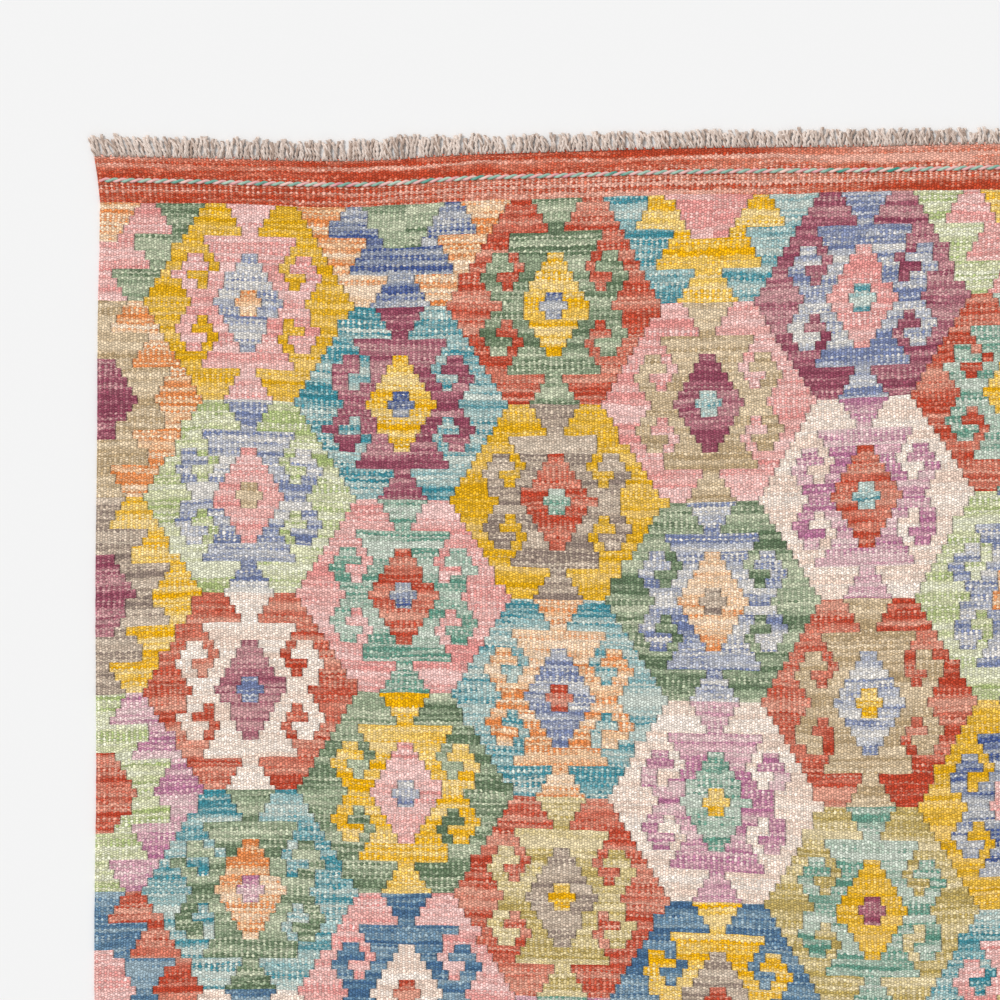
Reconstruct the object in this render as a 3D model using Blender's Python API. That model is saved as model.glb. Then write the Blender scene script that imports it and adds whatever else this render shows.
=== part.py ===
"""A hand-woven kilim rug of about 100 x 150 cm, lying flat.

Three solids make it: the slit-woven wool body, one flat slab with the uneven outline of hand weaving, and the
two fringes, each a comb of bundles of cut warp ends along one end of the body. +X runs with the wefts, +Y with
the warps, and the underside lies at z = 0. All sizes are in metres.
"""

import random

import bpy
import numpy as np

# The body: eight columns of hexagons wide and nine hexagons long, with a plain band at each end.
COLUMN_PITCH = 0.125
HEXAGON_PITCH = 0.1596
END_BAND = 0.0385
WIDTH = 8 * COLUMN_PITCH
LENGTH = 9 * HEXAGON_PITCH + 2 * END_BAND
THICKNESS = 0.003
OUTLINE_STEP = 0.02

# The fringes: bundles of three warps, cut short, a little thinner than the weave.
BUNDLES = 142
FRINGE_THICKNESS = 0.0022
SEAM_GAP = 0.0003
SELVAGE_STRIP = 0.0022
BUNDLE_ROOT = 0.40
BUNDLE_TIP = 0.26
BUNDLE_JITTER = 0.13
LENGTH_JITTER = 0.10

# How far each edge bulges outwards: (share of the way along the edge, outward offset).
# The long edges run from the +Y end to the -Y end, the short ones from -X to +X.
LEFT_EDGE = (
    (0.000, 0.0027),
    (0.009, 0.0008),
    (0.014, -0.0008),
    (0.046, -0.0020),
    (0.078, -0.0008),
    (0.159, 0.0000),
    (0.218, 0.0012),
    (0.346, 0.0008),
    (0.393, 0.0019),
    (0.560, 0.0010),
    (0.700, -0.0006),
    (0.840, 0.0004),
    (0.960, -0.0014),
    (1.000, 0.0019),
)
RIGHT_EDGE = (
    (0.000, 0.0021),
    (0.015, -0.0006),
    (0.060, -0.0015),
    (0.220, 0.0006),
    (0.410, -0.0010),
    (0.600, 0.0012),
    (0.800, 0.0001),
    (0.970, -0.0015),
    (1.000, 0.0017),
)
FAR_EDGE = (
    (0.000, 0.0002),
    (0.083, -0.0013),
    (0.237, -0.0028),
    (0.286, 0.0006),
    (0.375, 0.0036),
    (0.488, 0.0068),
    (0.610, 0.0079),
    (0.731, 0.0103),
    (0.870, 0.0100),
    (1.000, 0.0070),
)
NEAR_EDGE = (
    (0.000, 0.0010),
    (0.150, -0.0018),
    (0.350, 0.0016),
    (0.600, -0.0010),
    (0.800, 0.0022),
    (1.000, 0.0004),
)

# The fringes from -X to +X: (share of the way along, length of the ends, lean of their tips towards +X).
FAR_FRINGE = (
    (0.000, 0.0156, -0.0052),
    (0.045, 0.0160, -0.0050),
    (0.070, 0.0152, -0.0010),
    (0.150, 0.0146, 0.0008),
    (0.237, 0.0162, -0.0006),
    (0.300, 0.0142, 0.0012),
    (0.375, 0.0127, 0.0004),
    (0.488, 0.0122, -0.0012),
    (0.610, 0.0126, 0.0010),
    (0.731, 0.0102, -0.0004),
    (0.870, 0.0116, 0.0008),
    (1.000, 0.0134, 0.0032),
)
NEAR_FRINGE = (
    (0.000, 0.0132, -0.0036),
    (0.120, 0.0140, 0.0006),
    (0.300, 0.0124, -0.0010),
    (0.500, 0.0138, 0.0008),
    (0.700, 0.0120, -0.0006),
    (0.900, 0.0134, 0.0010),
    (1.000, 0.0142, 0.0034),
)


def along_table(table, share, column=1):
    """The value of a column at a share of the way, on a smooth curve through the table's rows."""
    places = np.array([row[0] for row in table])
    values = np.array([row[column] for row in table])
    slopes = np.gradient(values, places)
    first = int(np.clip(np.searchsorted(places, share) - 1, 0, len(table) - 2))
    span = places[first + 1] - places[first]
    t = (share - places[first]) / span
    rise = values[first + 1] - values[first]
    start = slopes[first] * span
    end = slopes[first + 1] * span
    return values[first] + t * (start + t * (3 * rise - 2 * start - end + t * (start + end - 2 * rise)))


def side_point(table, side, share):
    """A point of a long edge; side is -1 for the left edge and 1 for the right one."""
    right = (1 + side) / 2
    far = LENGTH / 2 + along_table(FAR_EDGE, right)
    near = -LENGTH / 2 - along_table(NEAR_EDGE, right)
    return side * (WIDTH / 2 + along_table(table, share)), far + (near - far) * share


def end_point(table, side, share, outwards=0.0):
    """A point of a short edge, moved outwards; side is 1 for the far edge and -1 for the near one."""
    down = (1 - side) / 2
    left = -WIDTH / 2 - along_table(LEFT_EDGE, down)
    right = WIDTH / 2 + along_table(RIGHT_EDGE, down)
    return left + (right - left) * share, side * (LENGTH / 2 + along_table(table, share) + outwards)


def body_outline():
    """The outline of the woven body, anticlockwise from its far left corner."""
    down = [i / round(LENGTH / OUTLINE_STEP) for i in range(round(LENGTH / OUTLINE_STEP))]
    across = [i / round(WIDTH / OUTLINE_STEP) for i in range(round(WIDTH / OUTLINE_STEP))]
    left = [side_point(LEFT_EDGE, -1, share) for share in down]
    near = [end_point(NEAR_EDGE, -1, share) for share in across]
    right = [side_point(RIGHT_EDGE, 1, 1 - share) for share in down]
    far = [end_point(FAR_EDGE, 1, 1 - share) for share in across]
    return left + near + right + far


def fringe_outline(edge, fringe, side, seed):
    """The outline of one fringe: a strip along the body's end edge, and a tapered tooth for each bundle."""
    draw = random.Random(seed)
    pitch = WIDTH / BUNDLES
    strip = [end_point(edge, side, i / BUNDLES, SEAM_GAP) for i in range(BUNDLES + 1)]
    teeth = []
    for bundle in range(BUNDLES):
        share = (bundle + 0.5) / BUNDLES
        x, root = end_point(edge, side, share, SEAM_GAP + SELVAGE_STRIP)
        reach = along_table(fringe, share) * (1 + draw.uniform(-LENGTH_JITTER, LENGTH_JITTER))
        tip_x = x + along_table(fringe, share, column=2) + draw.uniform(-BUNDLE_JITTER, BUNDLE_JITTER) * pitch
        tip = end_point(edge, side, share, reach)[1]
        slant = draw.uniform(-LENGTH_JITTER, LENGTH_JITTER) * reach / 2
        teeth += [
            (x - BUNDLE_ROOT * pitch, root),
            (tip_x - BUNDLE_TIP * pitch, tip + slant),
            (tip_x + BUNDLE_TIP * pitch, tip - slant),
            (x + BUNDLE_ROOT * pitch, root),
        ]
    return strip + teeth[::-1]


def flat_solid(name, outline, centre, thickness, collection, material):
    """A flat piece on the ground: its outline as a filled 2D curve, extruded to its thickness."""
    curve = bpy.data.curves.new(name, "CURVE")
    curve.dimensions = "2D"
    curve.fill_mode = "BOTH"
    curve.extrude = thickness / 2
    spline = curve.splines.new("POLY")
    spline.points.add(len(outline) - 1)
    for point, (x, y) in zip(spline.points, outline):
        point.co = (x - centre[0], y - centre[1], 0, 1)
    spline.use_cyclic_u = True
    piece = bpy.data.objects.new(name, curve)
    piece.location.z = thickness / 2
    collection.objects.link(piece)
    curve.materials.append(material)
    return piece


def yarn(name, colour, roughness):
    """A matt wool or cotton yarn colour."""
    material = bpy.data.materials.new(name)
    material.use_nodes = True
    shader = material.node_tree.nodes["Principled BSDF"]
    shader.inputs["Base Color"].default_value = (*colour, 1)
    shader.inputs["Roughness"].default_value = roughness
    shader.inputs["Metallic"].default_value = 0
    return material


for item in list(bpy.data.objects):
    bpy.data.objects.remove(item)

rug = bpy.data.collections.new("kilim_rug")
bpy.context.scene.collection.children.link(rug)

body = body_outline()
far_comb = fringe_outline(FAR_EDGE, FAR_FRINGE, 1, seed=11)
near_comb = fringe_outline(NEAR_EDGE, NEAR_FRINGE, -1, seed=23)
every_point = np.array(body + far_comb + near_comb)
middle = (every_point.min(axis=0) + every_point.max(axis=0)) / 2

weave = yarn("dyed_wool_weave", (0.55, 0.33, 0.28), 0.9)
far_warp = yarn("far_warp_ends", (0.48, 0.42, 0.36), 0.9)
near_warp = yarn("near_warp_ends", (0.48, 0.42, 0.36), 0.9)
flat_solid("rug_body", body, middle, THICKNESS, rug, weave)
flat_solid("fringe_top", far_comb, middle, FRINGE_THICKNESS, rug, far_warp)
flat_solid("fringe_bottom", near_comb, middle, FRINGE_THICKNESS, rug, near_warp)
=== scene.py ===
"""A hand-woven wool kilim rug of about 100 x 150 cm, lying flat on a pale floor, seen from above."""
import math
import random

import bmesh
import bpy
import numpy as np
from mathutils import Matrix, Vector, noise


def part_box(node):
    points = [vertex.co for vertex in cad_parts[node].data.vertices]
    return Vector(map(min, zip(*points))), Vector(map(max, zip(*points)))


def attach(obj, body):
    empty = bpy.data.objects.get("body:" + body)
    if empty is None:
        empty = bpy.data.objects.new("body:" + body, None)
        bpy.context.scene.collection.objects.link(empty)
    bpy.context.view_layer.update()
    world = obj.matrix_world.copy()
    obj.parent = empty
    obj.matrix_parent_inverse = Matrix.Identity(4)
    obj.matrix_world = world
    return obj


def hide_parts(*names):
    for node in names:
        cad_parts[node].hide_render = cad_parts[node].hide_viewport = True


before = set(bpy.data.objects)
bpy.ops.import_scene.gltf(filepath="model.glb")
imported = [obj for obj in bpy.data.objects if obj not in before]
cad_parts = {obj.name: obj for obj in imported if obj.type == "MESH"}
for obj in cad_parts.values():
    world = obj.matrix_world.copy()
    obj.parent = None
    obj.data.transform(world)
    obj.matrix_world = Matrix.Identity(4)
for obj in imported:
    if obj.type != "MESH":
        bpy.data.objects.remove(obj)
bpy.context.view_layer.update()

# The warp and weft of the rug. Undyed wool warps run its whole length, hidden under dyed wefts beaten down
# hard. A row of the pattern is seven wefts high, and its smallest step across is two warps wide. The weave
# fills the outline of the CAD slab and wanders inside it, as the tension of the warps did.
BODY = "rug_body"
WARPS_PER_STEP = 2
WEFTS_PER_ROW = 7
HEXAGON_COLUMNS = 8
STEPS_PER_COLUMN = 28
STEPS_ACROSS = HEXAGON_COLUMNS * STEPS_PER_COLUMN
HALF_HEXAGON_ROWS = 11
HEXAGONS_DOWN = 9
FIELD_ROWS = HEXAGONS_DOWN * 2 * HALF_HEXAGON_ROWS
BAND_ROWS = 5.3
ROWS_DOWN = FIELD_ROWS + 2 * BAND_ROWS
EDGE_FADE = 6
ROW_WOBBLE = 0.0013
ROW_TREMBLE = 0.0009
STEP_WOBBLE = 0.0011
MM = 0.001
# How far the weave has drifted, in millimetres, from the far end down: the share of the way, the drift
# towards the near end at four of the columns, and the drift to the right in the middle of the rug.
DRIFT = (
    (0.00, 0, 0, 0, 0, 0),
    (0.03, 0, 1, 1, 0, -2),
    (0.075, 0, 7, 8, 5, -4.5),
    (0.18, -3, 6, 9, 5, -2),
    (0.28, -6, 4.5, 10.5, 12, 0),
    (0.385, -3, 6, 12.5, 20, 2),
    (0.55, 1, 6, 10, 15, 3),
    (0.75, 1, 3, 5, 7, 1),
    (1.00, 0, 0, 0, 0, 0),
)
DRIFT_COLUMNS = (1, 3, 4, 5)
SIDEWAYS = ((0, 0), (1, 0.45), (3, 1), (5, 1.2), (8, 0))


def smooth_curve(table, at):
    """The values at some places on a smooth curve through a table's (place, value) rows."""
    places, values = np.array(table, float).T
    slopes = np.gradient(values, places)
    first = np.clip(np.searchsorted(places, at) - 1, 0, len(places) - 2)
    span = places[first + 1] - places[first]
    t = (at - places[first]) / span
    rise = values[first + 1] - values[first]
    start = slopes[first] * span
    end = slopes[first + 1] * span
    return values[first] + t * (start + t * (3 * rise - 2 * start - end + t * (start + end - 2 * rise)))


def slab_edges(node):
    """The far, left, near and right edges of a flat CAD piece, each an array of points."""
    points = {(round(v.co.x, 6), round(v.co.y, 6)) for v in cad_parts[node].data.vertices}
    loop = sorted(points, key=lambda point: math.atan2(point[1], point[0]))
    turn = [(1, 1), (-1, 1), (-1, -1), (1, -1)]
    corners = [max(range(len(loop)), key=lambda i: sx * loop[i][0] + sy * loop[i][1]) for sx, sy in turn]
    edges = []
    for start, end in zip(corners, corners[1:] + corners[:1]):
        count = (end - start) % len(loop)
        edges.append(np.array([loop[(start + i) % len(loop)] for i in range(count + 1)]))
    return edges


FAR_EDGE, LEFT_EDGE, NEAR_EDGE, RIGHT_EDGE = slab_edges(BODY)
CLOTH_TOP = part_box(BODY)[1].z


def lay(across, down):
    """Where points of the weave lie: across in steps from the left, down in rows from the far end."""
    a = across / STEPS_ACROSS
    b = down / ROWS_DOWN
    columns = across / STEPS_PER_COLUMN
    straight_left = LEFT_EDGE[0][0] + (LEFT_EDGE[-1][0] - LEFT_EDGE[0][0]) * b
    straight_right = RIGHT_EDGE[-1][0] + (RIGHT_EDGE[0][0] - RIGHT_EDGE[-1][0]) * b
    sideways = smooth_curve([(row[0], row[-1]) for row in DRIFT], b) * smooth_curve(SIDEWAYS, columns)
    x = straight_left + (straight_right - straight_left) * a + sideways * MM
    drift = 0
    for index, column in enumerate(DRIFT_COLUMNS):
        reach = [(place, float(place == column)) for place in (0, *DRIFT_COLUMNS, HEXAGON_COLUMNS)]
        down_column = [(row[0], row[index + 1]) for row in DRIFT]
        drift = drift + smooth_curve(down_column, b) * smooth_curve(reach, columns)
    far = np.interp(x, FAR_EDGE[::-1, 0], FAR_EDGE[::-1, 1])
    near = np.interp(x, NEAR_EDGE[:, 0], NEAR_EDGE[:, 1])
    y = far + (near - far) * b - drift * MM
    left = np.interp(y, LEFT_EDGE[::-1, 1], LEFT_EDGE[::-1, 0])
    right = np.interp(y, RIGHT_EDGE[:, 1], RIGHT_EDGE[:, 0])
    x = x + (left - straight_left) * (1 - a) ** EDGE_FADE + (right - straight_right) * a ** EDGE_FADE
    return x, y


# The dyed yarns. Hand-dyed wool takes the dye unevenly, so each colour has its usual shade, the paler
# shade of the yarn's thirsty stretches and the deeper one of a stronger bath.
YARNS = {
    "gold": ((238, 190, 72), (244, 204, 122), (228, 172, 20)),
    "yellow": ((246, 204, 104), (251, 221, 158), (244, 180, 8)),
    "rose": ((240, 184, 176), (250, 208, 202), (232, 152, 146)),
    "red": ((214, 124, 102), (230, 166, 144), (192, 70, 46)),
    "ivory": ((250, 230, 214), (254, 240, 228), (240, 212, 194)),
    "plum": ((178, 112, 124), (208, 160, 160), (146, 72, 92)),
    "lilac": ((222, 176, 184), (236, 208, 206), (184, 116, 150)),
    "aqua": ((164, 194, 192), (210, 218, 208), (62, 140, 154)),
    "mint": ((184, 200, 182), (210, 218, 204), (98, 152, 132)),
    "sage": ((158, 172, 142), (202, 207, 178), (98, 119, 90)),
    "lime": ((220, 220, 180), (232, 232, 206), (172, 188, 122)),
    "blue": ((150, 158, 176), (208, 206, 204), (66, 86, 144)),
    "sky": ((192, 194, 202), (230, 224, 216), (118, 130, 168)),
    "denim": ((104, 138, 164), (160, 180, 190), (70, 104, 140)),
    "grey": ((200, 180, 160), (220, 202, 182), (146, 128, 118)),
    "tan": ((214, 190, 156), (230, 208, 176), (186, 160, 122)),
    "peach": ((246, 204, 162), (253, 226, 198), (232, 138, 76)),
    "olive": ((220, 200, 146), (236, 218, 176), (186, 162, 92)),
    "brick": ((214, 124, 98), (238, 178, 158), (188, 70, 42)),
}


def linear(shade):
    """An 8-bit screen colour as linear light."""
    return [v / 255 / 12.92 if v < 10 else ((v / 255 + 0.055) / 1.055) ** 2.4 for v in shade]


# The pattern: columns of hexagons interlock, every second one half a hexagon lower. In each, a hooked
# figure stands on its field, with a diamond and a small cross at its heart, and those along the edges are
# plainer. Each colour is woven on its own warps, and turns back where the next one starts.
HOOKED = (
    ((2.5, "cross"), (6.5, "diamond"), (10.5, "figure"), (19.5, "field")),
    ((1.5, "cross"), (5.5, "diamond"), (11.5, "figure"), (18.5, "field")),
    ((4.5, "diamond"), (7.5, "figure"), (9.5, "field"), (12.5, "figure"), (17.5, "field")),
    ((3.5, "diamond"), (6.5, "figure"), (10.5, "field"), (13.5, "figure"), (16.5, "field")),
    ((2.5, "diamond"), (5.5, "figure"), (7.5, "field"), (12.5, "figure"), (15.5, "field")),
    ((1.5, "diamond"), (6.5, "figure"), (8.5, "field"), (11.5, "figure"), (14.5, "field")),
    ((7.5, "figure"), (13.5, "field")),
    ((8.5, "figure"), (12.5, "field")),
    ((1.5, "figure"), (11.5, "field")),
    ((2.5, "figure"), (10.5, "field")),
    ((3.5, "figure"), (9.5, "field")),
    ((4.5, "figure"), (8.5, "field")),
)
DIAMOND_ROWS = 6
CROSS_ROWS = 2
HEXAGON_HALF_WIDTH = 19.5
POINT_HALF_WIDTH = 8.5
PLAIN_DIAMOND = 7.5
PLAIN_DIAMOND_ROWS = 5
SAW_TOOTH = 4
SAW_START = 5.5
# Each hexagon's yarns, down each column from the far end: field, figure, diamond and cross, or for the
# plainer half hexagons outside, inside and diamond.
COLUMN_YARNS = (
    "sage rose peach/peach tan plum/yellow grey plum/lilac lime red/red denim rose/"
    "aqua gold plum/ivory sage red/gold blue rose/lime lilac yellow/rose mint peach",
    "gold rose sky peach/lime sky rose tan/red ivory plum sky/aqua sage peach lilac/ivory denim gold red/"
    "rose olive blue yellow/plum peach mint gold/yellow red grey aqua/blue tan rose ivory",
    "peach blue sage/aqua plum yellow blue/rose mint red blue/sage yellow rose sky/rose denim ivory red/"
    "gold grey plum mint/mint lilac red yellow/ivory olive blue rose/red sky gold plum/yellow plum lime",
    "red sage yellow blue/gold grey red mint/aqua peach sky red/red olive grey yellow/lilac mint gold plum/"
    "ivory blue rose tan/olive plum yellow sky/rose gold denim red/lime red ivory blue",
    "aqua yellow rose/rose tan plum aqua/sage sky peach grey/ivory lilac mint yellow/denim yellow grey red/"
    "red lime rose blue/yellow blue tan ivory/grey rose olive plum/mint gold lilac red/plum aqua gold",
    "plum sky rose aqua/ivory lilac red aqua/red tan sky yellow/olive mint gold plum/aqua rose ivory blue/"
    "gold sage red lilac/rose ivory blue peach/sage yellow plum mint/peach grey red gold",
    "lime rose yellow/red mint yellow blue/lime sky peach red/gold blue rose mint/aqua rose olive plum/"
    "plum yellow lime ivory/sky red gold tan/ivory mint plum rose/olive denim peach red/rose gold sage",
    "rose lime blue gold/yellow plum aqua red/tan rose sage ivory/blue peach red mint/olive lilac gold denim/"
    "red aqua tan yellow/lime plum ivory rose/gold sky rose sage/denim peach yellow red",
    "gold aqua red/ivory denim rose/sage peach plum/red yellow sky/lilac olive blue/"
    "aqua rose gold/yellow sage red/rose tan denim/peach plum lime/blue gold rose",
)

# The weaver's miscounts: the sides of some rows stand one step in or out.
MISCOUNTS = 0.1
FIRM_STEPS = 3
steady = random.Random(17)
UNSTEADY = {}
for column_number in range(HEXAGON_COLUMNS + 1):
    for hexagon_number in range(HEXAGONS_DOWN + 1):
        for hexagon_row in range(2 - HALF_HEXAGON_ROWS, HALF_HEXAGON_ROWS - 1):
            for row_side in (0, 1):
                if steady.random() < MISCOUNTS:
                    key = (column_number, hexagon_number, hexagon_row, row_side)
                    UNSTEADY[key] = steady.choice((-1, 1))


def zone(step, row):
    """The yarn at a step across and a row down the field, and a name for its unbroken stretch of weaving."""
    first = int(step // STEPS_PER_COLUMN)
    for column in (first, min(first + 1, HEXAGON_COLUMNS)):
        lowered = column % 2 * HALF_HEXAGON_ROWS
        number = int((row - lowered + HALF_HEXAGON_ROWS) // (2 * HALF_HEXAGON_ROWS))
        from_middle = round(row - lowered - number * 2 * HALF_HEXAGON_ROWS)
        rows_off = abs(from_middle)
        side = int(step > column * STEPS_PER_COLUMN)
        steps_off = abs(step - column * STEPS_PER_COLUMN)
        if steps_off > FIRM_STEPS:
            steps_off += UNSTEADY.get((column, number, from_middle, side), 0)
        reach = HEXAGON_HALF_WIDTH - rows_off if rows_off < HALF_HEXAGON_ROWS else POINT_HALF_WIDTH
        if steps_off < reach:
            break
    yarns = COLUMN_YARNS[column].split("/")[number].split()
    if len(yarns) == 3:
        teeth = HALF_HEXAGON_ROWS - rows_off
        saw = SAW_START + SAW_TOOTH * (teeth // SAW_TOOTH) - teeth % SAW_TOOTH
        split = rows_off < PLAIN_DIAMOND_ROWS
        in_diamond = split and steps_off < PLAIN_DIAMOND - rows_off
        part = 2 if in_diamond else int(steps_off < saw)
        run = 0
    else:
        names = ("field", "figure", "diamond", "cross")
        row_parts = HOOKED[rows_off]
        run = next((i for i, (limit, name) in enumerate(row_parts) if steps_off < limit), len(row_parts) - 1)
        part = names.index(row_parts[run][1])
        split = part < 2 and rows_off < DIAMOND_ROWS or part == 2 and rows_off < CROSS_ROWS
        run = 0 if run == len(row_parts) - 1 or part > 1 else run
    if part and not split and run == 0:
        side = 0
    if run:
        side += 2 * int(from_middle > 0)
    return yarns[part], (column, number, part, run, side)


# The woven body: one thin cloth, modelled as a closed sheet with a face for each step of the pattern, on
# both of its faces, because a kilim is the same on its back. Its selvedges are rounded where the wefts
# turn back, and it puckers a little from stretch to stretch.
SELVEDGE_THICKNESS = 0.0019
PUCKER = 0.00022
PUCKERS_PER_METRE = 90
RIPPLE = 0.0003
RIPPLES_PER_METRE = 11
ROW_WAVES_PER_STEP = 0.06
ROW_WAVES_PER_ROW = 0.35
SLIT_DIP = 0.0002
RIM_WARPS = 1.3
SELVEDGE_WOBBLE = 0.0004
row_lines = sorted(
    {0.0, BAND_ROWS / 2, ROWS_DOWN - BAND_ROWS / 2, ROWS_DOWN}
    | {BAND_ROWS + HALF_HEXAGON_ROWS * block for block in range(2 * HEXAGONS_DOWN + 1)}
    | {BAND_ROWS + row + 0.5 for row in range(FIELD_ROWS)}
)
step_lines = [0.0] + [step + 0.5 for step in range(STEPS_ACROSS)] + [float(STEPS_ACROSS)]
CELLS_ACROSS = len(step_lines) - 1
CELLS_DOWN = len(row_lines) - 1


def points_of(mesh):
    """The places of a mesh's points, one row each."""
    points = np.empty(len(mesh.vertices) * 3)
    mesh.vertices.foreach_get("co", points)
    return points.reshape(-1, 3)


def add_piece(mesh):
    """A new object that shows this mesh, under its name."""
    piece = bpy.data.objects.new(mesh.name, mesh)
    bpy.context.scene.collection.objects.link(piece)
    return piece


def waves(*places):
    """Smooth noise, about -1 to 1, at each row of places."""
    return np.array([noise.noise(spot) for spot in zip(*np.broadcast_arrays(*places))])


cloth = bmesh.new()
bmesh.ops.create_grid(cloth, x_segments=CELLS_ACROSS, y_segments=CELLS_DOWN, size=0.5)
bmesh.ops.solidify(cloth, geom=cloth.faces[:], thickness=0.1)
bmesh.ops.recalc_face_normals(cloth, faces=cloth.faces[:])
middle_z = sum(v.co.z for v in cloth.verts) / len(cloth.verts)
body_mesh = bpy.data.meshes.new("woven_body")
cloth.to_mesh(body_mesh)
cloth.free()

grid = points_of(body_mesh)
column_of = np.rint((grid[:, 0] + 0.5) * CELLS_ACROSS).astype(int)
line_of = np.rint((0.5 - grid[:, 1]) * CELLS_DOWN).astype(int)
on_top = grid[:, 2] > middle_z
across = np.array(step_lines)[column_of]
down = np.array(row_lines)[line_of]


def cell(i, j):
    """The yarn of one face of the sheet, and its stretch. The plain bands are brick."""
    step = (step_lines[i] + step_lines[i + 1]) / 2
    row = (row_lines[j] + row_lines[j + 1]) / 2 - BAND_ROWS
    if not 0 < row < FIELD_ROWS:
        return "brick", (HEXAGON_COLUMNS + 1, int(row > 0), 0, 0, 0)
    return zone(step, row)


# A slit opens between two cells in a row whose yarns are unlike, and goes on while both rows have it.
cells = [[cell(i, j) for j in range(CELLS_DOWN)] for i in range(CELLS_ACROSS)]
slits = np.zeros((CELLS_ACROSS + 1, CELLS_DOWN))
for i in range(1, CELLS_ACROSS):
    for j in range(CELLS_DOWN):
        slits[i, j] = cells[i - 1][j][1] != cells[i][j][1] and cells[i - 1][j][0] != cells[i][j][0]
slit_corners = np.zeros((CELLS_ACROSS + 1, CELLS_DOWN + 1))
slit_corners[:, 1:-1] = slits[:, 1:] * slits[:, :-1]

x, y = lay(across, down)
wave_across = across * ROW_WAVES_PER_STEP
wave_down = down * ROW_WAVES_PER_ROW
wobble = waves(wave_across, wave_down, 4.0)
inside = np.clip(np.minimum(down, ROWS_DOWN - down) / 2, 0, 1)
tremble = waves(wave_across * 4, wave_down * 2, 6.0)
y = y + (ROW_WOBBLE * wobble + ROW_TREMBLE * tremble) * inside
sway = waves(wave_across * 7, wave_down * 2, 9.0)
inner = (column_of > 1) & (column_of < CELLS_ACROSS - 1)
x = x + STEP_WOBBLE * sway * inner
at_right = (column_of > CELLS_ACROSS / 2).astype(float)
jitter = waves(wave_down * 2.3, 7.0, at_right)
x = x + SELVEDGE_WOBBLE * jitter * ((column_of == 0) | (column_of == CELLS_ACROSS))
ripple = waves(x * RIPPLES_PER_METRE, y * RIPPLES_PER_METRE, 0.0)
pucker = waves(x * PUCKERS_PER_METRE, y * PUCKERS_PER_METRE, 2.0)
z = CLOTH_TOP + RIPPLE * ripple + PUCKER * pucker - SLIT_DIP * slit_corners[column_of, line_of]
rim = (column_of == 0) | (column_of == CELLS_ACROSS) | (line_of == 0) | (line_of == CELLS_DOWN)
z = np.where(rim, SELVEDGE_THICKNESS, z)
z = np.where(on_top, z, 0.0)
body_mesh.vertices.foreach_set("co", np.stack([x, y, z], axis=1).ravel())

corner_vertex = np.empty(len(body_mesh.loops), int)
body_mesh.loops.foreach_get("vertex_index", corner_vertex)
face_corners = corner_vertex.reshape(-1, 4)
face_column = np.minimum(column_of[face_corners].min(axis=1), CELLS_ACROSS - 1)
face_line = np.minimum(line_of[face_corners].min(axis=1), CELLS_DOWN - 1)
is_rim = np.ptp(on_top[face_corners].astype(int), axis=1) > 0

# The weave's own coordinates: warps across and wefts down, with the rim wrapped round the selvedge.
weave_uv = np.stack([across * WARPS_PER_STEP, down * WEFTS_PER_ROW], axis=1)[face_corners]
under = is_rim[:, None] & ~on_top[face_corners]
weave_uv[..., 0] -= RIM_WARPS * under
weave_uv[..., 1] -= RIM_WARPS * under
body_mesh.uv_layers.new(name="weave").data.foreach_set("uv", weave_uv.astype(np.float32).ravel())

draw = random.Random(5)
stretch_seed = {}
for column_cells in cells:
    for yarn_name, stretch in column_cells:
        stretch_seed.setdefault(stretch, draw.random())
facts = np.zeros((CELLS_ACROSS, CELLS_DOWN, 4, 4), np.float32)
for i in range(CELLS_ACROSS):
    for j in range(CELLS_DOWN):
        yarn_name, stretch = cells[i][j]
        shades = [linear(shade) + [1.0] for shade in YARNS[yarn_name]]
        facts[i, j] = shades + [[stretch_seed[stretch], slits[i, j], slits[i + 1, j], 1.0]]
for index, name in enumerate(("shade", "pale_shade", "deep_shade", "stretch")):
    layer = body_mesh.attributes.new(name, "FLOAT_COLOR", "CORNER")
    values = np.repeat(facts[face_column, face_line, index], 4, axis=0)
    layer.data.foreach_set("color", values.ravel())
body_mesh.shade_smooth()
woven_body = add_piece(body_mesh)


# The wool: each weft shows as short floats over every second warp, and the next weft fills between them.
# The dye changes from weft to weft and along each yarn, separately in each stretch, and where two thin
# yarns of unlike shades alternate, the row looks dotted. A slit stays open beside a change of colour.
WOOL_SHEEN = 0.15
WEAVE_ROUGHNESS = 0.92


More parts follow.
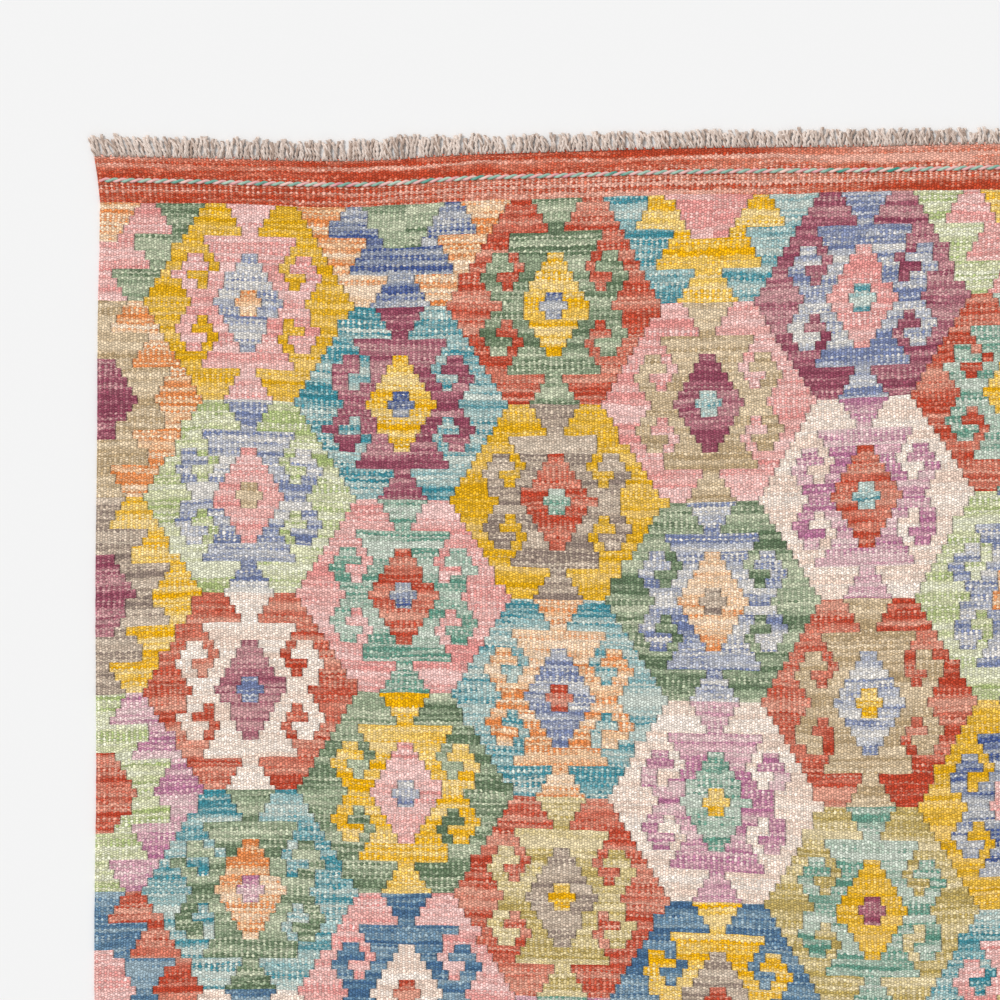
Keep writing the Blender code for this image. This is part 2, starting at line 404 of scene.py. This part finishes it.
class Wire:
    """A value in a material: arithmetic on it adds Math nodes to the material's tree."""

    def __init__(self, socket):
        self.socket = socket

    def node(self, kind, settings, inputs, output=0):
        """The output of a new node, once its settings are made and its sockets are filled or linked."""
        tree = self.socket.id_data
        made = tree.nodes.new(kind)
        for key, value in settings.items():
            setattr(made, key, value)
        for key, value in inputs.items():
            if isinstance(value, Wire):
                tree.links.new(value.socket, made.inputs[key])
            else:
                made.inputs[key].default_value = value
        return Wire(made.outputs[output])

    def math(self, operation, first, second=0.0):
        return self.node("ShaderNodeMath", {"operation": operation}, {0: first, 1: second})

    def __add__(self, other):
        return self.math("ADD", self, other)

    def __sub__(self, other):
        return self.math("SUBTRACT", self, other)

    def __rsub__(self, other):
        return self.math("SUBTRACT", other, self)

    def __mul__(self, other):
        return self.math("MULTIPLY", self, other)

    def __truediv__(self, other):
        return self.math("DIVIDE", self, other)

    __radd__ = __add__
    __rmul__ = __mul__

    def floor(self):
        return self.math("FLOOR", self)

    def size(self):
        return self.math("ABSOLUTE", self)

    def cosine(self):
        return self.math("COSINE", self)

    def step(self, low, high):
        """0 below low and 1 above high, eased between them."""
        settings = {"interpolation_type": "SMOOTHSTEP"}
        return self.node("ShaderNodeMapRange", settings, {0: self, 1: low, 2: high})

    def at(self, second, third=0.0):
        """A place made of three values."""
        return self.node("ShaderNodeCombineXYZ", {}, {0: self, 1: second, 2: third})

    def dice(self):
        """A random value for each place."""
        return self.node("ShaderNodeTexWhiteNoise", {"noise_dimensions": "3D"}, {"Vector": self})

    def cloud(self, scale, detail=2.0):
        """Smooth noise at a place."""
        return self.node("ShaderNodeTexNoise", {}, {"Vector": self, "Scale": scale, "Detail": detail})

    def blend(self, other, share, how="MIX"):
        """This colour mixed with another."""
        settings = {"data_type": "RGBA", "blend_type": how}
        return self.node("ShaderNodeMix", settings, {0: share, 6: self, 7: other}, output=2)

    def lit(self, light):
        """This colour, made darker or lighter by a value."""
        grey = light.node("ShaderNodeCombineColor", {}, {0: light, 1: light, 2: light})
        return self.blend(grey, 1.0, "MULTIPLY")

    def layer(self, name):
        """A colour that the mesh holds."""
        return self.node("ShaderNodeVertexColor", {"layer_name": name}, {})

    def relief(self, strength, depth):
        """The normal of a surface that this value raises."""
        return self.node("ShaderNodeBump", {}, {"Strength": strength, "Distance": depth, "Height": self})


def finish_wool(material, colour, normal, roughness):
    """Gives a wool material its colour and its relief, and the dry finish of wool."""
    tree = material.node_tree
    wool = tree.nodes["Principled BSDF"]
    tree.links.new(colour.socket, wool.inputs["Base Color"])
    tree.links.new(normal.socket, wool.inputs["Normal"])
    wool.inputs["Roughness"].default_value = roughness
    wool.inputs["Specular IOR Level"].default_value = WOOL_SHEEN


weave = bpy.data.materials.new("dyed_wool_weave")
weave.use_nodes = True
place = Wire(weave.node_tree.nodes.new("ShaderNodeUVMap").outputs[0])
place.socket.node.uv_map = "weave"
shade = place.layer("shade")
pale = place.layer("pale_shade")
deep = place.layer("deep_shade")
stretch = place.layer("stretch")
seed = stretch.node("ShaderNodeSeparateColor", {}, {0: stretch}, 0)
slit_left = stretch.node("ShaderNodeSeparateColor", {}, {0: stretch}, 1)
slit_right = stretch.node("ShaderNodeSeparateColor", {}, {0: stretch}, 2)
warp = place.node("ShaderNodeSeparateXYZ", {}, {0: place}, 0)
weft = place.node("ShaderNodeSeparateXYZ", {}, {0: place}, 1)

# The float that a point belongs to: its warp and its weft, and how far the point is from its middle. The
# wefts swing up and down by a few of their own widths where the warps were slack, and the warps lean.
SLACK_SWING = 5.0
UNEVEN_SWING = 3.8
WARP_LEAN = 0.7
slack = (warp * 0.05).at(weft * 0.07).cloud(1.0, 2.0) - 0.5
lean = (warp * 0.3).at(weft * 0.16, 5.0).cloud(1.0, 1.0) - 0.5
uneven = (warp * 0.55).at(weft * 0.34, 8.0).cloud(1.0, 1.0) - 0.5
wavy_weft = weft + SLACK_SWING * slack + UNEVEN_SWING * uneven
wavy_warp = warp + WARP_LEAN * lean
rising = (0.5 * (wavy_warp + wavy_weft) + 0.5).floor()
falling = (0.5 * (wavy_warp - wavy_weft) + 0.5).floor()
float_warp = rising + falling
float_weft = rising - falling
beside = (wavy_warp - float_warp).size()
above = (wavy_weft - float_weft).size()

# Its dye, from -1 for the thirsty stretches to 1 for the strong bath. The bath changes over a dozen
# wefts, the streaks over two or three, and a thin yarn from weft to weft. A marled yarn changes from
# float to float. The seed of a stretch of weaving sets its yarn apart from the next one's.
BATHS_PER_WEFT = 0.075
BATH_CHANGE = 3.8
STREAKS_PER_WEFT = 0.38
STREAK_CHANGE = 3.3
THIN_YARN_CHANGE = 1.7
ALONG_YARN_CHANGE = 1.8
ODD_WEFT_CHANGE = 0.14
DOTTED_CHANGE = 0.36
MARL_CHANGE = 1.1
PALE_RANGE = (0.0, 1.0)
DEEP_RANGE = (0.1, 1.1)
bath = (float_weft * BATHS_PER_WEFT).at(seed * 97, float_warp * 0.006).cloud(1.0, 0.0) - 0.5
streak = (float_weft * STREAKS_PER_WEFT).at(seed * 61, float_warp * 0.012).cloud(1.0, 0.0) - 0.5
thin = float_weft.at(seed * 127, 2.0).dice() - 0.5
along = (float_warp * 0.11).at(float_weft * 0.8, seed * 53).cloud(1.0, 0.0) - 0.5
odd_weft = (float_weft * math.pi).cosine()
dotted = (float_weft * 0.06).at(seed * 211, 7.0).cloud(1.0, 0.0).step(0.42, 0.62)
marl = float_warp.at(float_weft, seed * 31).dice() - 0.5
dye = BATH_CHANGE * bath + STREAK_CHANGE * streak + THIN_YARN_CHANGE * thin + ALONG_YARN_CHANGE * along
dye = dye + (ODD_WEFT_CHANGE + DOTTED_CHANGE * dotted) * odd_weft + MARL_CHANGE * dotted * marl
colour = shade.blend(pale, (dye * -1).step(*PALE_RANGE)).blend(deep, dye.step(*DEEP_RANGE))

# Its painted light and shade: the colour is painted bright along the middle of the float, and painted dark
# where it dives between its neighbours or beside a slit.
FLOAT_SIDES = (0.1, 0.76)
FLOAT_ENDS = (0.35, 1.05)
SIDE_SHADE = 0.8
END_SHADE = 0.52
SLIT_SHADE = 0.65
LEAST_LIGHT = 0.42
FLOAT_LIGHT = 0.44
FLOAT_LIGHT_SPREAD = 0.72
FIBRE_LIGHT_SPREAD = 0.7
FLOAT_RELIEF = 0.0006
float_dice = float_warp.at(float_weft, seed * 50).dice()
fibre = (warp * 3.1).at(weft * 1.4, seed * 9).cloud(1.0, 2.0)
float_rise_and_shade = (1 - SIDE_SHADE * beside.step(*FLOAT_SIDES)) * (1 - END_SHADE * above.step(*FLOAT_ENDS))
inside_step = (warp / 2.0 + 0.5) - (warp / 2.0 + 0.5).floor()
gap = slit_left * (1 - inside_step.step(0.02, 0.18)) + slit_right * inside_step.step(0.82, 0.98)
float_light = (FLOAT_LIGHT + FLOAT_LIGHT_SPREAD * float_dice) * float_rise_and_shade
light = (LEAST_LIGHT + float_light + FIBRE_LIGHT_SPREAD * (fibre - 0.5)) * (1 - SLIT_SHADE * gap)
height = float_rise_and_shade + 0.3 * fibre - 0.6 * gap
finish_wool(weave, colour.lit(light), height.relief(1.0, FLOAT_RELIEF), WEAVE_ROUGHNESS)
body_mesh.materials.append(weave)
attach(woven_body, "root")
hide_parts(BODY)


# The twined lines: one in each plain band, two yarns twisted round each other over the warps, one blush
# and one mint, which keep the wefts from working loose. They lie half sunk in the cloth and dive into the
# selvedges.
LINE_INSET = 0.0207
LINE_PERIOD = 0.0135
LINE_YARN_RADIUS = 0.00118
LINE_TWIST_RADIUS = 0.0009
LINE_HEIGHT = 0.0003
LINE_WANDER = 0.0009
WANDERS_PER_METRE = 9
LINE_DIVE = 0.0024
DIVE_LENGTH = 0.003
LINE_END = 0.0008
LEAST_HEIGHT = 0.0002
RINGS_PER_TURN = 12
LINE_SIDES = 8
DYE_CHANGES_PER_METRE = 45
DYE_CHANGE = 0.9
HAIRS_PER_METRE = 1600.0
HAIR_DEPTH = 0.0004
YARN_ROUGHNESS = 0.9
LINE_SHADES = (((252, 218, 206), (232, 160, 168)), ((208, 228, 210), (70, 158, 142)))
twined_lines = []
for end, edge, towards in (("far", FAR_EDGE[::-1], -1), ("near", NEAR_EDGE, 1)):
    turns = round((edge[-1][0] - edge[0][0]) / LINE_PERIOD)
    form = bmesh.new()
    for yarn_number in (0, 1):
        made = bmesh.ops.create_grid(form, x_segments=turns * RINGS_PER_TURN, y_segments=LINE_SIDES, size=0.5)
        bmesh.ops.translate(form, verts=made["verts"], vec=(0, 0, yarn_number))
    line_mesh = bpy.data.meshes.new("twined_line_" + end)
    form.to_mesh(line_mesh)
    form.free()
    along, around, yarn_number = points_of(line_mesh).T + np.array([[0.5], [0.5], [0]])
    line_y = edge[0][1] + towards * LINE_INSET
    line_start = np.interp(line_y, LEFT_EDGE[::-1, 1], LEFT_EDGE[::-1, 0]) + LINE_END
    line_stop = np.interp(line_y, RIGHT_EDGE[:, 1], RIGHT_EDGE[:, 0]) - LINE_END
    x = line_start + (line_stop - line_start) * along
    wander = waves(x * WANDERS_PER_METRE, towards, 0.0)
    y = np.interp(x, edge[:, 0], edge[:, 1]) + towards * LINE_INSET + LINE_WANDER * wander
    to_end = np.minimum(x - line_start, line_stop - x)
    z = CLOTH_TOP + LINE_HEIGHT - LINE_DIVE * np.exp(-to_end / DIVE_LENGTH)
    twist = 2 * math.pi * turns * along + math.pi * yarn_number
    spin = 2 * math.pi * around
    y = y - LINE_TWIST_RADIUS * np.cos(twist) + LINE_YARN_RADIUS * np.cos(spin)
    z = z + LINE_TWIST_RADIUS * np.sin(twist) + LINE_YARN_RADIUS * np.sin(spin)
    z = np.maximum(z, LEAST_HEIGHT)
    line_mesh.vertices.foreach_set("co", np.stack([x, y, z], axis=1).ravel())
    dye_wave = waves(x * DYE_CHANGES_PER_METRE, yarn_number * 9 + towards, 1.0)
    uneven = np.clip(0.5 + DYE_CHANGE * dye_wave, 0, 1)[:, None]
    shades = np.array([[linear(shade) for shade in pair] for pair in LINE_SHADES])[yarn_number.astype(int)]
    yarn_colours = np.ones((len(x), 4))
    yarn_colours[:, :3] = shades[:, 0] * uneven + shades[:, 1] * (1 - uneven)
    line_mesh.attributes.new("dye", "FLOAT_COLOR", "POINT").data.foreach_set("color", yarn_colours.ravel())
    sealed = bmesh.new()
    sealed.from_mesh(line_mesh)
    bmesh.ops.remove_doubles(sealed, verts=sealed.verts[:], dist=1e-6)
    bmesh.ops.holes_fill(sealed, edges=[side for side in sealed.edges if side.is_boundary], sides=LINE_SIDES)
    bmesh.ops.recalc_face_normals(sealed, faces=sealed.faces[:])
    sealed.to_mesh(line_mesh)
    sealed.free()
    line_mesh.shade_smooth()
    twined_lines.append(add_piece(line_mesh))

# The yarn's hairs make it darker and lighter from place to place, and fuzzy.
twine = bpy.data.materials.new("twining_yarn")
twine.use_nodes = True
spot = Wire(twine.node_tree.nodes.new("ShaderNodeTexCoord").outputs["Object"])
hair = spot.cloud(HAIRS_PER_METRE, 3.0)
finish_wool(twine, spot.layer("dye").lit(0.55 + 0.8 * hair), hair.relief(0.6, HAIR_DEPTH), YARN_ROUGHNESS)
for line in twined_lines:
    line.data.materials.append(twine)
    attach(line, "root")


# The fringes: the cut ends of the warps, in bundles of three undyed grey wool strands. Each strand is two
# plies twisted together, springs up a little where it leaves the weave, and is cut short and unevenly.
BUNDLES = 142
STRANDS = 3
PLIES = 2
PLY_RADIUS = 0.00086
PLY_OFFSET = 0.0007
PLY_SIDES = 6
PLY_LENGTHS = 9
TWIST_PITCH = 0.0085
ROOT_DEPTH = 0.0016
ROOT_HEIGHT = 0.0017
STRAND_SPREAD = 0.0018
TIP_SPREAD = 0.0028
FAN = (0.4, 1.3)
TIP_STRAY = 0.001
TIP_SWELL = 0.25
TIP_HEIGHT = (0.0013, 0.0028)
SHORTFALL = (-0.0012, 0.0026)
SPRING = (0.00018, 0.0009, 0.00018)
CURL = 0.0011
CURL_SHARE = (0.3, 1.2)
CURL_BENDS = 5.5
ROOT_SHADE = 0.85
SHADE_REACH = 0.3
FLOOR_CLEARANCE = 0.0001
LEAST_TIP_DISTANCE = 0.006
UNDYED = ((0.2, (186, 164, 150)), (0.6, (216, 198, 186)), (1.0, (238, 222, 211)))
ply = bmesh.new()
bmesh.ops.create_cone(ply, cap_ends=True, segments=PLY_SIDES, radius1=1, radius2=1, depth=1)
bmesh.ops.translate(ply, verts=ply.verts[:], vec=(0, 0, 0.5))
for cut in range(1, PLY_LENGTHS):
    geometry = ply.verts[:] + ply.edges[:] + ply.faces[:]
    bmesh.ops.bisect_plane(ply, geom=geometry, plane_co=(0, 0, cut / PLY_LENGTHS), plane_no=(0, 0, 1))
ply_mesh = bpy.data.meshes.new("ply")
ply.to_mesh(ply_mesh)
ply.free()

fringes = []
draw = random.Random(29)
for node_name, edge, outwards in (("fringe_top", FAR_EDGE[::-1], 1), ("fringe_bottom", NEAR_EDGE, -1)):
    comb = {(round(v.co.x, 6), round(v.co.y, 6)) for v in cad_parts[node_name].data.vertices}
    comb = np.array(sorted(comb))
    tip_points = comb[np.abs(comb[:, 1] - np.interp(comb[:, 0], edge[:, 0], edge[:, 1])) > LEAST_TIP_DISTANCE]
    tips = tip_points.reshape(BUNDLES, 2, 2)
    form = bmesh.new()
    for _ in range(BUNDLES * STRANDS * PLIES):
        form.from_mesh(ply_mesh)
    fringe_mesh = bpy.data.meshes.new(node_name + "_strands")
    form.to_mesh(fringe_mesh)
    form.free()
    flat = points_of(fringe_mesh).reshape(BUNDLES * STRANDS * PLIES, -1, 3)
    yarn_colours = np.ones((*flat.shape[:2], 4))
    for number in range(BUNDLES * STRANDS):
        bundle, strand = divmod(number, STRANDS)
        side = (strand - (STRANDS - 1) / 2) / ((STRANDS - 1) / 2)
        share = (bundle + 0.5) / BUNDLES
        root_x = edge[0][0] + (edge[-1][0] - edge[0][0]) * share + side * STRAND_SPREAD
        root_y = np.interp(root_x, edge[:, 0], edge[:, 1]) - outwards * ROOT_DEPTH
        root = np.array([root_x, root_y, ROOT_HEIGHT])
        tip_middle = tips[bundle].mean(axis=0)
        tip_x = tip_middle[0] + side * TIP_SPREAD * draw.uniform(*FAN) + draw.uniform(-1, 1) * TIP_STRAY
        tip_y = tip_middle[1] - outwards * draw.uniform(*SHORTFALL)
        tip = np.array([tip_x, tip_y, draw.uniform(*TIP_HEIGHT)])
        turns = np.linalg.norm(tip - root) / TWIST_PITCH
        curl_phase = draw.uniform(0, 2 * math.pi)
        curl_size = CURL * draw.uniform(*CURL_SHARE)
        twist_start = draw.uniform(0, 2 * math.pi)
        for ply_number in range(PLIES):
            index = number * PLIES + ply_number
            ring_x, ring_y, t = flat[index].T.copy()
            path = root + (tip - root) * t[:, None]
            sway = curl_size * (np.sin(curl_phase + CURL_BENDS * t) - math.sin(curl_phase) * (1 - t))
            rise = SPRING[strand] * np.sin(math.pi * t)
            turn = twist_start + math.pi * ply_number + 2 * math.pi * turns * t
            fat = PLY_RADIUS * (1 + TIP_SWELL * t)
            flat[index, :, 0] = path[:, 0] + sway + PLY_OFFSET * np.cos(turn) + fat * ring_x
            flat[index, :, 1] = path[:, 1]
            flat[index, :, 2] = path[:, 2] + rise + PLY_OFFSET * np.sin(turn) + fat * ring_y
            lightness = draw.uniform(0, 1)
            undyed_shade = next(shade for share, shade in UNDYED if lightness <= share)
            # Painted shade: each strand's colour is darkened towards its root, where it leaves the weave.
            root_shadow = ROOT_SHADE + (1 - ROOT_SHADE) * np.clip(t / SHADE_REACH, 0, 1)
            yarn_colours[index, :, :3] = np.array(linear(undyed_shade)) * root_shadow[:, None]
    flat[..., 2] = np.maximum(flat[..., 2], FLOOR_CLEARANCE)
    fringe_mesh.vertices.foreach_set("co", flat.ravel())
    fringe_mesh.attributes.new("dye", "FLOAT_COLOR", "POINT").data.foreach_set("color", yarn_colours.ravel())
    turned = bmesh.new()
    turned.from_mesh(fringe_mesh)
    bmesh.ops.recalc_face_normals(turned, faces=turned.faces[:])
    turned.to_mesh(fringe_mesh)
    turned.free()
    fringe_mesh.shade_smooth()
    fringe = add_piece(fringe_mesh)
    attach(fringe, "root")
    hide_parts(node_name)
    fringes.append(fringe)

# Undyed wool, with coarser and more uneven hairs than the twining yarn. Its dye layer also holds the painted
# shade near each strand's root.
WARP_HAIRS_PER_METRE = 1300.0
WARP_HAIR_DEPTH = 0.0002
ends = bpy.data.materials.new("undyed_warp")
ends.use_nodes = True
spot = Wire(ends.node_tree.nodes.new("ShaderNodeTexCoord").outputs["Object"])
hair = spot.cloud(WARP_HAIRS_PER_METRE, 4.0)
finish_wool(ends, spot.layer("dye").lit(0.35 + 1.2 * hair), hair.relief(0.4, WARP_HAIR_DEPTH), YARN_ROUGHNESS)
for fringe in fringes:
    fringe.data.materials.append(ends)

# The ground: a plain pale floor under soft even light, seen through a long lens from straight above the
# far left corner.
FLOOR_SIDE = 12.0
FLOOR_GAP = 0.0002
FLOOR_SHADE = (0.9, 0.9, 0.9, 1)
FLOOR_ROUGHNESS = 0.95
SKY_LIGHT = 0.55
WINDOW_LIGHT = 1.85
WINDOW_SPREAD = math.radians(25)
WINDOW_TILT = math.radians(-28)
floor_form = bmesh.new()
bmesh.ops.create_grid(floor_form, x_segments=1, y_segments=1, size=FLOOR_SIDE / 2)
bmesh.ops.translate(floor_form, verts=floor_form.verts[:], vec=(0, 0, -FLOOR_GAP))
floor_mesh = bpy.data.meshes.new("floor")
floor_form.to_mesh(floor_mesh)
floor_form.free()
floor = add_piece(floor_mesh)
paint = bpy.data.materials.new("pale_ground")
paint.use_nodes = True
paint.node_tree.nodes["Principled BSDF"].inputs["Base Color"].default_value = FLOOR_SHADE
paint.node_tree.nodes["Principled BSDF"].inputs["Roughness"].default_value = FLOOR_ROUGHNESS
floor_mesh.materials.append(paint)

world = bpy.data.worlds.new("soft_room")
bpy.context.scene.world = world
world.use_nodes = True
world.node_tree.nodes["Background"].inputs[0].default_value = (1, 1, 1, 1)
world.node_tree.nodes["Background"].inputs[1].default_value = SKY_LIGHT
sun = bpy.data.lights.new("window", "SUN")
sun.energy = WINDOW_LIGHT
sun.angle = WINDOW_SPREAD
sun_object = bpy.data.objects.new("window", sun)
sun_object.rotation_euler = (WINDOW_TILT, WINDOW_TILT, 0)
bpy.context.scene.collection.objects.link(sun_object)

CAMERA_FROM_CORNER = (0.329, -0.280)
CAMERA_HEIGHT = 6.0
VIEW_WIDTH = 0.81
SENSOR_WIDTH = 36
lens = bpy.data.cameras.new("overhead")
lens.sensor_width = SENSOR_WIDTH
lens.lens = SENSOR_WIDTH * CAMERA_HEIGHT / VIEW_WIDTH
camera = bpy.data.objects.new("overhead", lens)
camera.location = (
    LEFT_EDGE[0][0] + CAMERA_FROM_CORNER[0],
    LEFT_EDGE[0][1] + CAMERA_FROM_CORNER[1],
    CAMERA_HEIGHT,
)
bpy.context.scene.collection.objects.link(camera)
bpy.context.scene.camera = camera
bpy.context.scene.view_settings.view_transform = "Standard"
